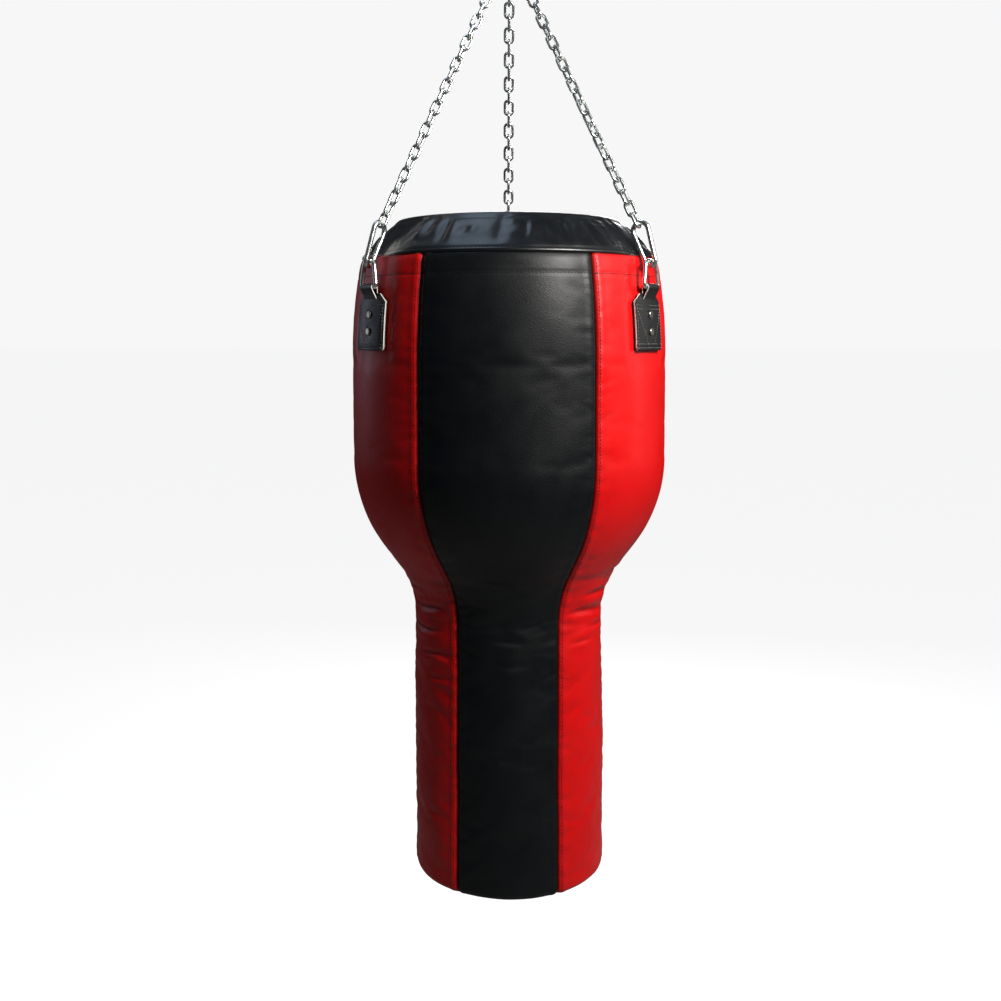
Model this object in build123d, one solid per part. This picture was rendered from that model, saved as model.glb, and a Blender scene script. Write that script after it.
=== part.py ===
from build123d import *
import math
import os

# Angle (uppercut) punching bag: a wide head on a narrow trunk, hung by three chain legs from a swivel.
#
# All sizes are millimetres. The bag is drawn with its base at z = 0 and every solid is lowered by
# HANG when it is written, so that the origin is the centre of the swivel's hanging eye, +Z is up and
# -Y is the front, where the middle of a black panel faces. PHI is an angle round the bag from the
# front towards +X. Each leg is drawn in its own frame: X outwards, Y along the bag's skin, Z up.

# --- the bag's outline -------------------------------------------------------------------------
BASE_R = 120.5          # the trunk settles slightly wider at its base
TRUNK_R = 119.5
HEAD_R = 197.0
SEAM_R = 185.4          # where the panels meet the collar
RIM_R = 140.0           # where the collar meets the lid
BASE_EDGE = 7.0         # rounding of the trunk's bottom edge
SLOPE_LOW_Z = 368.0     # where the taper's line would cross the trunk's
SLOPE_HIGH_Z = 474.0    # and the head's
TRUNK_BLEND = 105.0     # arc radii at the two ends of the taper
HEAD_BLEND = 190.0
BULGE_Z = 654.0         # the head is a plain cylinder up to here, then draws in
SEAM_Z = 780.0
RIM_Z = 827.0
COLLAR_SWELL = 3.0      # how far the collar bows out from a straight cone

# --- layers ------------------------------------------------------------------------------------
SKIN = 2.0              # coated fabric
SKIN_GAP = 0.1          # air between the skin and the foam
FOAM = 22.0             # wrap between the skin and the inner sack
SACK = 1.5              # canvas sack round the filling
LID_R = 135.0           # the collar turns over the rim and is sewn to the lid here
BASE_DISC_R = 113.0
TRUNK_FOAM_Z = 330.0    # where the three foam wraps meet
HEAD_FOAM_Z = 535.0
PANELS = ["front", "right", "right_rear", "rear", "left_rear", "left"]

# --- zip in the lid ----------------------------------------------------------------------------
ZIP_LENGTH = 236.0
ZIP_SLOT = 14.0
TAPE_THICK = 1.0
TOOTH_PITCH, TOOTH_LENGTH, TOOTH_HEIGHT = 4.0, 2.4, 2.6
TOOTH_IN, TOOTH_OUT = 0.9, 3.4      # each row's reach from the middle line
SLIDER_LENGTH, SLIDER_WIDTH, SLIDER_HEIGHT = 13.0, 12.0, 6.6
SLIDER_BRIDGE = 1.0
SLIDER_ROOM = 0.4
SLIDER_START = -ZIP_LENGTH / 2 + 10
EAR_THICK, EAR_LENGTH, EAR_GAP = 1.6, 5.0, 5.4
PULL_PIN_R, PULL_PIN_HIGH = 1.1, 3.0
PULL_LENGTH, PULL_WIDTH, PULL_THICK = 30.0, 7.0, 1.6
PULL_BARREL_R = 2.3

# --- hanging tabs ------------------------------------------------------------------------------
LEGS = {"right": 56.0, "rear": 180.0, "left": 304.0}
PATCH_WIDTH, PATCH_LOW, PATCH_HIGH = 62.0, 668.0, 725.0
PATCH_TOP = 735.0       # top of the sloping shoulders
PATCH_NECK = 36.0
PATCH_THICK = 5.2
STRAP_WIDTH, STRAP_THICK = 28.0, 1.8
STRAP_LOW, STRAP_TAIL = 676.0, 694.0
RIVET_Z = (690.0, 710.0)
RIVET_R, RIVET_HEAD_R, RIVET_HEAD_HIGH = 2.2, 4.6, 1.9
WASHER_R, WASHER_THICK = 9.0, 1.2
BAR_X, BAR_Z = 200.5, 742.0

# --- hardware ----------------------------------------------------------------------------------
LOOSE = 0.3             # room between pieces that turn on each other
TOUCH = 0.2             # room between two pieces of wire that hang on each other
DEE_R = 2.5             # wire radius of the dee ring
DEE_HIGH = 31.0         # between the centre lines of its bar and its top
DEE_BAR, DEE_TOP = 18.0, 11.5
DEE_TILT = 2.0          # leaning in against the bag
HOOK_R = 3.0
HOOK_LENGTH = 60.0
HOOK_LOW_R, HOOK_HIGH_R = 6.3, 10.0
HOOK_TILT = 20.0
HOOK_TWIST = {"right": 0.0, "rear": 0.0, "left": 25.0}
PIVOT_RISE = 3.6        # from the end of the hook's wire to the gate's pin
GATE_R = 2.8
GATE_PIN_R = 1.0
TONGUE, TONGUE_WIDTH = 2.2, 4.6
GATE_SLOT = 3.0
NOSE_DEEP = 4.0
GATE_GAP = 0.6
LINK_R = 1.8
LINK_INSIDE = 16.0      # inner length of a link, the chain's nominal pitch
LINK_WIDTH = 14.0
LINKS = 24

# --- ring and swivel: heights are above the top of the gather ring's centre line ----------------
RING_Z = 1166.0         # centre of the gather ring
RING_R, RING_WIRE_R = 22.0, 3.0
EYE_R, EYE_WIRE_R = 12.5, 3.5
SHANK_R, SHANK_TOP = 5.0, 48.5
HOUSING_R, HOUSING_BORE_R = 18.0, 14.0
CAP_LOW, CAP_THICK, CAP_BORE_R = 24.0, 6.0, 5.4
RACE_THICK, RACE_R, RACE_BORE_R = 3.0, 12.5, 6.0
BALL_R, BALL_PATH_R, BALLS = 2.5, 9.0, 10
GROOVE_DEPTH, GROOVE_ROOM = 0.8, 0.06
NUT_ACROSS, NUT_THICK = 17.0, 8.0
CAVITY_TOP, HOUSING_TOP, NECK_TOP = 52.0, 58.0, 65.5
HANG_EYE = 76.0
HANG_EYE_R, HANG_BORE_R, HANG_EYE_THICK = 20.0, 10.0, 12.0

RING_TOP_Z = RING_Z + RING_R
HANG = RING_TOP_Z + HANG_EYE
FAR = 2000.0


# --- helpers -----------------------------------------------------------------------------------
def save(node, shape):
    """Writes one node, lowered so that the hanging eye is at the origin."""
    export_step(shape.moved(Location((0, 0, -HANG))), f"parts/{node}.step")


def around(phi):
    """The place of a leg's own frame in the bag's."""
    return Location((0, 0, 0), (0, 0, phi - 90))


def one(shape):
    """The one solid of a boolean's result."""
    solids = shape.solids()
    assert len(solids) == 1, f"{len(solids)} solids where one was meant"
    return solids[0]


def block(low, high):
    """A box between two opposite corners."""
    size = [high[i] - low[i] for i in range(3)]
    return Pos(*[(high[i] + low[i]) / 2 for i in range(3)]) * Box(*size)


def tube(radius, start, end):
    """A round bar from one point to another."""
    way = Vector(end) - Vector(start)
    return extrude(Plane(origin=Vector(start), z_dir=way) * Circle(radius), way.length)


def ring_of(radius, low, high):
    """A solid disc round the Z axis between two heights."""
    return Pos(0, 0, (low + high) / 2) * Cylinder(radius, high - low)


def bent_wire(radius, path):
    """A round wire along a path."""
    return one(sweep(Plane(origin=path @ 0, z_dir=path % 0) * Circle(radius), path=path))


# --- the bag -----------------------------------------------------------------------------------
def left_of(start, end, depth):
    """(point, direction) of the line from start to end, moved to its left by a depth."""
    way = Vector(end[0] - start[0], end[1] - start[1]).normalized()
    return Vector(*start) + Vector(-way.Y, way.X) * depth, way


def crossing(first, second):
    """Where two lines cross."""
    (point, way), (other, aim) = first, second
    between = other - point
    along = (between.X * aim.Y - between.Y * aim.X) / (way.X * aim.Y - way.Y * aim.X)
    return point + way * along


def circles_cross(centre, radius, other, other_radius):
    """The upper of the two points where two circles cross."""
    between = other - centre
    span = between.length
    along = (radius ** 2 - other_radius ** 2 + span ** 2) / (2 * span)
    aside = math.sqrt(radius ** 2 - along ** 2)
    way = between.normalized()
    side = Vector(-way.Y, way.X) * aside
    foot = centre + way * along
    return max(foot + side, foot - side, key=lambda point: point.Y)


def arc_round(centre, start, end):
    """The short arc round a centre from one point to another."""
    half = ((start - centre).normalized() + (end - centre).normalized()).normalized()
    return ThreePointArc(start, centre + half * (start - centre).length, end)


def bend_of(chord, rise):
    """Radius of an arc from its chord and how far it rises from it."""
    return (chord ** 2 / 4 + rise ** 2) / (2 * rise)


def draw_in_radius():
    """Radius of the arc by which the head draws in to the seam: upright where it starts."""
    return bend_of(2 * (SEAM_Z - BULGE_Z), HEAD_R - SEAM_R)


def outline(depth):
    """The half outline of the bag, moved in by a depth, from its base round to its lid."""
    points = [(0, 0), (BASE_R, 0), (TRUNK_R, SLOPE_LOW_Z), (HEAD_R, SLOPE_HIGH_Z), (HEAD_R, BULGE_Z)]
    lines = [left_of(points[i], points[i + 1], depth) for i in range(4)]
    corners = [crossing(lines[i], lines[i + 1]) for i in range(3)] + [Vector(HEAD_R - depth, BULGE_Z)]
    radii = [TRUNK_BLEND + depth, HEAD_BLEND - depth]
    start = Vector(0, depth)
    if BASE_EDGE - depth > 1:
        lower = FilletPolyline(start, *corners, radius=[BASE_EDGE - depth] + radii)
    else:
        lower = Line(start, corners[0]) + FilletPolyline(*corners, radius=radii)

    bend = draw_in_radius()
    bulge_centre = Vector(HEAD_R - bend, BULGE_Z)
    chord = Vector(RIM_R - SEAM_R, RIM_Z - SEAM_Z)
    collar_bend = bend_of(chord.length, COLLAR_SWELL)
    out = Vector(chord.Y, -chord.X).normalized()
    collar_centre = Vector(SEAM_R, SEAM_Z) + chord * 0.5 - out * (collar_bend - COLLAR_SWELL)
    seam = circles_cross(bulge_centre, bend - depth, collar_centre, collar_bend - depth)
    top = RIM_Z - depth
    rim_x = collar_centre.X + math.sqrt((collar_bend - depth) ** 2 - (top - collar_centre.Y) ** 2)
    rim = Vector(rim_x, top)
    upper = arc_round(bulge_centre, corners[3], seam) + arc_round(collar_centre, seam, rim)
    closing = Polyline(rim, (0, top), start)
    return make_face(lower.edges() + upper.edges() + closing.edges())


def skin_radius(z):
    """Radius of the bag's outside at a height on the upper head."""
    bend = draw_in_radius()
    return HEAD_R - bend + math.sqrt(bend ** 2 - max(z - BULGE_Z, 0) ** 2)


def bag_at(depth):
    """The bag as one solid, its surface moved in by a depth."""
    return turned(outline(depth))


def turned(half, sweep_angle=360, phi=20):
    """A half outline turned round the Z axis, the middle of what it sweeps facing phi."""
    solid = revolve(Plane.XZ * half, Axis.Z, sweep_angle)
    return one(Rot(0, 0, phi - 90 - sweep_angle / 2) * solid)


def window(near, far, low, high):
    """The part of a half outline between two radii and two heights."""
    return Pos((near + far) / 2, (low + high) / 2) * Rectangle(far - near, high - low)


def save_bag(rivets):
    """Skin, foam, sack and filling; the rivets go through the first two."""
    inside, sack_outside = outline(SKIN + SKIN_GAP), outline(SKIN + FOAM)
    skin = outline(0) - outline(SKIN)
    side = skin & window(BASE_DISC_R, FAR, -10, SEAM_Z)
    for place, name in enumerate(PANELS):
        panel = turned(side, 60, 60 * place)
        if name in LEGS:
            panel = one(panel - rivets)
        save(f"{name}_panel", panel)
    save("base_disc", turned(skin & window(0, BASE_DISC_R, -10, 10)))
    save("shoulder_collar", turned(skin & window(LID_R, FAR, SEAM_Z, FAR)))
    slot = block((-ZIP_LENGTH / 2, -ZIP_SLOT / 2, 0), (ZIP_LENGTH / 2, ZIP_SLOT / 2, FAR))
    half_lid = skin & window(0, LID_R, SEAM_Z, FAR)
    save("lid_front", one(turned(half_lid, 180, 0) - slot))
    save("lid_rear", one(turned(half_lid, 180, 180) - slot))

    lowest = SKIN + FOAM
    highest = RIM_Z - SKIN - FOAM
    wrap = inside - sack_outside
    save("base_foam", turned(wrap & window(0, FAR, -10, lowest)))
    save("trunk_foam", turned(wrap & window(0, FAR, lowest, TRUNK_FOAM_Z)))
    save("taper_foam", turned(wrap & window(0, FAR, TRUNK_FOAM_Z, HEAD_FOAM_Z)))
    save("head_foam", one(turned(wrap & window(0, FAR, HEAD_FOAM_Z, highest)) - rivets))
    room = block((-ZIP_LENGTH / 2, -ZIP_SLOT / 2, RIM_Z - 5.5), (ZIP_LENGTH / 2, ZIP_SLOT / 2, FAR))
    save("top_foam", one(turned(wrap & window(0, FAR, highest, FAR)) - room))
    sack_inside = outline(SKIN + FOAM + SACK)
    save("inner_sack", turned(sack_outside - sack_inside))
    save("filling", turned(sack_inside))


# --- the zip -----------------------------------------------------------------------------------
def save_zip():
    """A straight zip along X in the middle of the lid, its slider at the -X end."""
    level = RIM_Z - SKIN / 2
    end = ZIP_LENGTH / 2
    for name, side in (("front", -1), ("rear", 1)):
        near, far = sorted((side * TOOTH_OUT, side * ZIP_SLOT / 2))
        save(f"zip_tape_{name}", block((-end, near, level - TAPE_THICK / 2),
                                       (end, far, level + TAPE_THICK / 2)))
    teeth = []
    count = int((ZIP_LENGTH - 8) / TOOTH_PITCH)
    tooth = Box(TOOTH_LENGTH, TOOTH_OUT - TOOTH_IN, TOOTH_HEIGHT)
    for i in range(count):
        for side in (-1, 1):
            x = (i - (count - 1) / 2 + side / 4) * TOOTH_PITCH
            teeth.append(Pos(x, side * (TOOTH_OUT + TOOTH_IN) / 2, level) * tooth)
    save("zip_teeth", Compound(teeth))

    channel = 2 * (TOOTH_OUT + SLIDER_ROOM)
    body = Box(SLIDER_LENGTH, SLIDER_WIDTH, SLIDER_HEIGHT)
    body = fillet(body.edges().filter_by(Axis.Z), 3)
    body -= Box(2 * SLIDER_LENGTH, channel, TOOTH_HEIGHT + 2 * SLIDER_ROOM)
    body -= Box(2 * SLIDER_LENGTH, 2 * SLIDER_WIDTH, TAPE_THICK + 2 * SLIDER_ROOM)
    body += Box(SLIDER_LENGTH - 4, SLIDER_BRIDGE, SLIDER_HEIGHT)
    pin_z = SLIDER_HEIGHT / 2 + PULL_PIN_HIGH
    ear = Pos(0, 0, SLIDER_HEIGHT / 2 + 2) * Box(EAR_LENGTH, EAR_THICK, 5)
    ear = fillet(ear.edges().filter_by(Axis.Y).group_by(Axis.Z)[-1], 1.5)
    for side in (-1, 1):
        body += Pos(0, side * (EAR_GAP + EAR_THICK) / 2, 0) * ear
    reach = EAR_GAP / 2 + EAR_THICK
    body += tube(PULL_PIN_R, (0, -reach, pin_z), (0, reach, pin_z))
    place = Pos(SLIDER_START, 0, level)
    save("zip_slider", one(place * body))

    barrel = EAR_GAP / 2 - LOOSE
    pull = tube(PULL_BARREL_R, (0, -barrel, pin_z), (0, barrel, pin_z))
    neck = block((0, -barrel, pin_z - PULL_THICK / 2), (8, barrel, pin_z + PULL_THICK / 2))
    leaf = Pos((6 + PULL_LENGTH) / 2, 0, pin_z) * Box(PULL_LENGTH - 6, PULL_WIDTH, PULL_THICK)
    leaf = fillet(leaf.edges().filter_by(Axis.Z), 2.5)
    pull = pull + neck + leaf
    pull -= tube(PULL_PIN_R + LOOSE, (0, -FAR, pin_z), (0, FAR, pin_z))
    pull -= tube(1.6, (PULL_LENGTH - 4, 0, -FAR), (PULL_LENGTH - 4, 0, FAR))
    save("zip_pull", one(place * pull))


# --- the tabs ----------------------------------------------------------------------------------
def patch_outline():
    """Everything outwards of a patch: a rectangle with sloping shoulders under a neck."""
    wide, neck = PATCH_WIDTH / 2, PATCH_NECK / 2
    corners = [(-wide, PATCH_LOW), (wide, PATCH_LOW), (wide, PATCH_HIGH), (neck, PATCH_TOP),
               (-neck, PATCH_TOP), (-wide, PATCH_HIGH)]
    face = make_face(Polyline(*corners, close=True))
    face = fillet(face.vertices().group_by(Axis.Y)[0], 3)
    return extrude(Plane.YZ * face, 2 * HEAD_R)


def strap():
    """Webbing folded over the dee ring's bar, its two legs lying flat together under the patch."""
    low, high = skin_radius(STRAP_LOW) + 0.5, skin_radius(PATCH_HIGH) + 0.5
    tail = low + (high - low) * (STRAP_TAIL - STRAP_LOW) / (PATCH_HIGH - STRAP_LOW)
    loop_in, loop_out = DEE_R + LOOSE, DEE_R + LOOSE + STRAP_THICK
    legs = make_face(Polyline((low, STRAP_LOW), (low + STRAP_THICK, STRAP_LOW),
                              (tail + STRAP_THICK, STRAP_TAIL), (tail + 2 * STRAP_THICK, STRAP_TAIL),
                              (high + 2 * STRAP_THICK, PATCH_HIGH), (high, PATCH_HIGH), close=True))
    throat = make_face(Polyline((high, PATCH_HIGH), (high + 2 * STRAP_THICK, PATCH_HIGH),
                                (BAR_X + loop_out, BAR_Z), (BAR_X - loop_out, BAR_Z), close=True))
    opened = make_face(Polyline((high + STRAP_THICK, PATCH_HIGH + 2.5),
                                (BAR_X + loop_in, BAR_Z), (BAR_X - loop_in, BAR_Z), close=True))
    bar = Pos(BAR_X, BAR_Z)
    profile = legs + throat + bar * Circle(loop_out) - opened - bar * Circle(loop_in)
    return one(extrude(Plane.XZ * profile, STRAP_WIDTH / 2, both=True))


def rivet(z):
    """A tubular rivet: a domed head outside, a shank through tab and skin, a washer inside."""
    outside = skin_radius(z) + PATCH_THICK
    inside = skin_radius(z) - SKIN
    head = Cylinder(RIVET_HEAD_R, RIVET_HEAD_HIGH, align=(Align.CENTER, Align.CENTER, Align.MIN))
    head = fillet(head.edges().group_by(Axis.Z)[-1], 1.2)
    head = Location((outside, 0, z), (0, 90, 0)) * head
    shank = tube(RIVET_R, (inside - WASHER_THICK, 0, z), (outside + 0.4, 0, z))
    washer = tube(WASHER_R, (inside - WASHER_THICK - 0.6, 0, z), (inside - 0.6, 0, z))
    return one(head + shank + washer)


# --- wire hardware -----------------------------------------------------------------------------
def lean(tilt):
    """The direction in a leg's frame that leans in from upright by a tilt in degrees."""
    return Vector(-math.sin(math.radians(tilt)), 0, math.cos(math.radians(tilt)))


def dee_ring():
    """A dee ring of round wire in the plane of the skin, leaning in from its bar."""
    flat = FilletPolyline((-DEE_BAR, 0), (DEE_BAR, 0), (DEE_TOP, DEE_HIGH), (-DEE_TOP, DEE_HIGH),
                          radius=[4, 4, 8, 8], close=True)
    up = lean(DEE_TILT)
    place = Plane(origin=(BAR_X, 0, BAR_Z), x_dir=(0, 1, 0), z_dir=Vector(0, 1, 0).cross(up))
    return bent_wire(DEE_R, Wire((place * flat).edges()))


def hook_plane(name):
    """The hook's own plane: origin on its lowest wire centre, X outwards, Y up along its length."""
    top = Vector(BAR_X, 0, BAR_Z) + lean(DEE_TILT) * DEE_HIGH
    up = lean(HOOK_TILT)
    foot = top - up * (DEE_R + HOOK_R + TOUCH)
    out = Vector(up.Z, 0, -up.X).rotate(Axis((0, 0, 0), up), HOOK_TWIST[name])
    return Plane(origin=foot, x_dir=out, z_dir=out.cross(up))


def pear():
    """The pear's four tangent points: low and high on its outer side, then on its inner side."""
    high_centre = HOOK_LENGTH - 2 * HOOK_R - HOOK_HIGH_R
    slant = (HOOK_HIGH_R - HOOK_LOW_R) / (high_centre - HOOK_LOW_R)
    wide = math.sqrt(1 - slant ** 2)
    low = Vector(HOOK_LOW_R * wide, HOOK_LOW_R - HOOK_LOW_R * slant)
    high = Vector(HOOK_HIGH_R * wide, high_centre - HOOK_HIGH_R * slant)
    return low, high, Vector(-low.X, low.Y), Vector(-high.X, high.Y)


def across_hook(plane, radius, centre, length):
    """A round bar square to the hook's plane."""
    return extrude(plane * (Pos(centre.X, centre.Y) * Circle(radius)), length / 2, both=True)


def flat_end(plane, start, end, width, thick):
    """A flat bar in the hook's plane, round at both ends."""
    way, middle = end - start, (start + end) * 0.5
    turn = math.degrees(math.atan2(way.Y, way.X))
    slot = Pos(middle.X, middle.Y) * Rot(0, 0, turn) * SlotCenterToCenter(way.length, width)
    return extrude(plane * slot, thick / 2, both=True)


def snap_hook(plane):
    """(hook, gate, pin): a pear of wire whose inner side is a hinged gate."""
    low, high, heel, nose = pear()
    way = (nose - heel).normalized()
    pivot = heel + way * PIVOT_RISE
    crown = nose - way * GATE_GAP
    line = ThreePointArc(heel, (0, 0), low)
    line += Line(low, high)
    line += ThreePointArc(high, (0, HOOK_LENGTH - 2 * HOOK_R), nose)
    wire = bent_wire(HOOK_R, Wire((plane * line).edges()))
    hook = wire + flat_end(plane, heel - way, pivot, TONGUE_WIDTH, TONGUE)
    hook += flat_end(plane, nose - way * NOSE_DEEP, nose + way, TONGUE_WIDTH - 1, TONGUE)
    hook = one(hook - across_hook(plane, GATE_PIN_R, pivot, 40))

    bar = tube(GATE_R, plane.from_local_coords(pivot), plane.from_local_coords(crown))
    knuckle = tube(GATE_R, plane.from_local_coords(pivot - way * GATE_R), plane.from_local_coords(pivot))
    gate = bar + (knuckle & across_hook(plane, GATE_R, pivot, 40))
    gate -= extrude(plane * (Pos(pivot.X, pivot.Y) * Circle(TONGUE_WIDTH / 2 + 0.8)),
                    GATE_SLOT / 2, both=True)
    gate -= flat_end(plane, nose - way * (NOSE_DEEP + 0.6), nose + way, 4 * GATE_R, GATE_SLOT)
    gate = one(gate - across_hook(plane, GATE_PIN_R + LOOSE / 3, pivot, 40))
    pin = across_hook(plane, GATE_PIN_R, pivot, 2 * GATE_R - 0.6)
    return hook, gate, pin


def chain_run(plane, phi):
    """Where a chain starts on its hook and ends on the gather ring, and how the end links face.

    Given in the leg's frame: (hook's wire centre, ring's wire centre, first normal, last normal).
    The chain pulls square to both wires, which settles the two points by turns.
    """
    home = around(phi).inverse()
    crown = Vector(0, HOOK_LENGTH - 2 * HOOK_R - HOOK_HIGH_R, 0)
    centre = plane.from_local_coords(crown)
    pull = plane.y_dir
    for step in range(20):
        flat = pull - plane.z_dir * pull.dot(plane.z_dir)
        start = centre + flat.normalized() * HOOK_HIGH_R
        ring_way = Vector(math.cos(math.radians(phi)), math.sin(math.radians(phi)), 0)
        side_pull = Vector(pull.X, pull.Y, pull.Z)
        world = (around(phi) * Pos(side_pull.X, side_pull.Y, side_pull.Z)).position
        alpha = math.atan2(-world.X, world.Z)
        end_world = Vector(RING_R * math.sin(alpha), 0, RING_Z - RING_R * math.cos(alpha))
        end = (home * Pos(end_world.X, end_world.Y, end_world.Z)).position
        pull = (end - start).normalized()
    last = (home * Pos(math.cos(alpha), 0, math.sin(alpha))).position
    first = pull.cross(plane.z_dir).normalized()
    return start, end, first, last


def chain(plane, phi):
    """A chain of stadium-shaped links, turned a quarter and a little more from one to the next."""
    start, end, first, last = chain_run(plane, phi)
    span = end - start
    pull = span.normalized()
    end_gap = HOOK_R + LINK_R
    rise = LINK_INSIDE + 2 * LINK_R
    free = LINKS * rise - (LINKS - 1) * 2 * LINK_R - 2 * end_gap - span.length
    play = free / (LINKS + 1)
    assert 0.02 < play < 0.45, f"a chain of {LINKS} links has {play:.3f} mm of play at each joint"
    step = rise - 2 * LINK_R - play

    aim = math.degrees(math.atan2(first.cross(last).dot(pull), first.dot(last)))
    extra = (aim - 90 * (LINKS - 1) + 90) % 180 - 90
    turn = 90 + extra / (LINKS - 1)
    half_width = LINK_WIDTH / 2 - LINK_R
    straight = rise / 2 - half_width
    loop = Line((half_width, -straight), (half_width, straight))
    loop += ThreePointArc((half_width, straight), (0, rise / 2), (-half_width, straight))
    loop += Line((-half_width, straight), (-half_width, -straight))
    loop += ThreePointArc((-half_width, -straight), (0, -rise / 2), (half_width, -straight))
    link = bent_wire(LINK_R, Wire(loop.edges()))
    links = []
    for i in range(LINKS):
        centre = start + pull * (rise / 2 - end_gap - play + i * step)
        facing = first.rotate(Axis((0, 0, 0), pull), turn * i)
        place = Plane(origin=centre, x_dir=pull.cross(facing), z_dir=facing)
        links.append(place.location * link)
    return Compound(links)


# --- the swivel --------------------------------------------------------------------------------
def save_swivel():
    """Ring, eye bolt and ball-bearing swivel, from the bottom up."""
    base = RING_TOP_Z
    ring = Location((0, 0, RING_Z), (90, 0, 0)) * Torus(RING_R, RING_WIRE_R)
    save("gather_ring", ring)

    eye_z = base - RING_WIRE_R - EYE_WIRE_R - LOOSE + EYE_R
    eye = Location((0, 0, eye_z), (0, 90, 0)) * Torus(EYE_R, EYE_WIRE_R)
    bolt = eye + ring_of(SHANK_R, eye_z + EYE_R - 1, base + SHANK_TOP)
    save("eye_bolt", one(bolt))

    cap_top = base + CAP_LOW + CAP_THICK
    cap = ring_of(HOUSING_BORE_R, base + CAP_LOW, cap_top) - ring_of(CAP_BORE_R, base, cap_top + 1)
    for turn in range(2):
        cap -= Location((0, 0, base + CAP_LOW + 4), (0, 0, 180 * turn)) * Pos(10.5, 0, -3) * \
            Cylinder(1.6, 6)
    save("swivel_cap", one(cap))

    ball_z = cap_top + RACE_THICK - GROOVE_DEPTH + BALL_R
    upper_z = ball_z + BALL_R - GROOVE_DEPTH
    groove = Pos(0, 0, ball_z) * Torus(BALL_PATH_R, BALL_R + GROOVE_ROOM)
    hole = ring_of(RACE_BORE_R, base, base + 60)
    save("lower_race", one(ring_of(RACE_R, cap_top, cap_top + RACE_THICK) - hole - groove))
    save("upper_race", one(ring_of(RACE_R, upper_z, upper_z + RACE_THICK) - hole - groove))
    ball = Pos(BALL_PATH_R, 0, ball_z) * Sphere(BALL_R)
    save("race_balls", Compound([Rot(0, 0, 360 / BALLS * i) * ball for i in range(BALLS)]))
    nut_z = upper_z + RACE_THICK
    nut = extrude(RegularPolygon(NUT_ACROSS / 2, 6, major_radius=False), NUT_THICK)
    nut = Pos(0, 0, nut_z) * nut - ring_of(SHANK_R, base, base + 60)
    save("swivel_nut", one(nut))

    housing = ring_of(HOUSING_R, base + CAP_LOW, base + HOUSING_TOP)
    housing = chamfer(housing.edges().group_by(Axis.Z)[0], 1.2)
    neck_high = NECK_TOP - HOUSING_TOP
    neck = Pos(0, 0, base + HOUSING_TOP + neck_high / 2) * Cone(HOUSING_R, HANG_EYE_THICK / 2, neck_high)
    disc = Location((0, 0, base + HANG_EYE), (90, 0, 0)) * Cylinder(HANG_EYE_R, HANG_EYE_THICK)
    disc = chamfer(disc.edges().filter_by(GeomType.CIRCLE), 1.5)
    bore = Location((0, 0, base + HANG_EYE), (90, 0, 0)) * Cylinder(HANG_BORE_R, 60)
    housing = housing + neck + disc - bore
    housing -= ring_of(HOUSING_BORE_R, base, base + CAVITY_TOP)
    save("swivel_housing", one(housing))


# --- build -------------------------------------------------------------------------------------
def save_legs():
    """Tabs, dee rings, hooks and chains; returns what passes through the skin and the foam."""
    webbing, studs = strap(), [rivet(z) for z in RIVET_Z]
    leather = one((patch_outline() & bag_at(-PATCH_THICK)) - bag_at(0))
    leather = one(leather - webbing - studs)
    belt = one(webbing - studs)
    passing = []
    for name, phi in LEGS.items():
        place = around(phi)
        plane = hook_plane(name)
        hook, gate, pin = snap_hook(plane)
        save(f"{name}_tab_patch", place * leather)
        save(f"{name}_tab_strap", place * belt)
        save(f"{name}_tab_rivets", place * Compound(studs))
        save(f"{name}_dee_ring", place * dee_ring())
        save(f"{name}_snap_hook", place * hook)
        save(f"{name}_snap_gate", place * gate)
        save(f"{name}_gate_pin", place * pin)
        save(f"{name}_chain", place * chain(plane, phi))
        passing += [place * stud for stud in studs]
    return passing


os.makedirs("parts", exist_ok=True)
studs_through = save_legs()
save_bag(studs_through)
save_zip()
save_swivel()
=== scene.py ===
import math
import bpy
import numpy as np
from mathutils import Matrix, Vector


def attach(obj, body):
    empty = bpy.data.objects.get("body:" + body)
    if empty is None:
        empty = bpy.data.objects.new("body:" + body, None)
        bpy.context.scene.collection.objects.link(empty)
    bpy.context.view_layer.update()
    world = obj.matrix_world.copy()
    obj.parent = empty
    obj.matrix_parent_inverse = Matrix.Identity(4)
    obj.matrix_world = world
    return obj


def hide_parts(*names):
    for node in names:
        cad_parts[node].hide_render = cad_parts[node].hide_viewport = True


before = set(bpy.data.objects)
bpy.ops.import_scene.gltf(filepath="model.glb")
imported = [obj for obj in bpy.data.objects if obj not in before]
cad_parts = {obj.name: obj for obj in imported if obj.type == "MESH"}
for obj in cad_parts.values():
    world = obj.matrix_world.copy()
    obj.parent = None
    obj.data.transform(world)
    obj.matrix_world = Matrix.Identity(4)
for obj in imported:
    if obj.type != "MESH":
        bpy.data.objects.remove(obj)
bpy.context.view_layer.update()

# A hanging uppercut bag. Lengths are millimetres, and heights are above the bag's base, until place()
# makes them metres in the row's frame. Angles round the bag are degrees from the front towards +X.
MM = 0.001
HANG_Z = 1264.0                         # the swivel's hanging eye, which is the row's origin
BAG = "bag"                             # the body that carries the cover and what is sewn to it

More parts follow.
